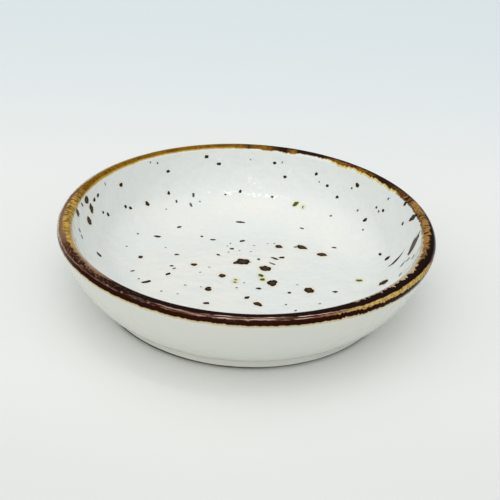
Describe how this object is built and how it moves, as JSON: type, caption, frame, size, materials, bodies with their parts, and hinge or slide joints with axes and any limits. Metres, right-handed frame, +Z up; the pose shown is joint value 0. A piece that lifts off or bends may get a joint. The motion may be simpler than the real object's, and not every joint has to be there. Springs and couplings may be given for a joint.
{
  "type": "soy sauce dish",
  "caption": "Small round glazed stoneware dish with sloping walls, a thick rounded lip and a foot ring, for soy sauce or dips.",
  "frame": {"origin": "centre of the foot ring's sole, on the table", "axes": "+Z up along the dish's axis of rotation; +Y is the side away from the viewer in the picture, +X the picture's right"},
  "size_m": [0.1, 0.1, 0.0215],
  "materials": {
    "stoneware": "bare fired clay, matte, fine grained",
    "white_glaze": "glossy white glaze, slightly warm, gently wavy",
    "brown_glaze": "glossy reactive glaze, black-brown to amber, streaked",
    "iron_fleck": "brown-black iron spots under gloss"
  },
  "bodies": {
    "root": {"clay_body": "stoneware", "inner_glaze": "white_glaze", "outer_glaze": "white_glaze", "base_glaze": "white_glaze", "rim_glaze": "brown_glaze", "iron_flecks": "iron_fleck"}
  },
  "joints": []
}
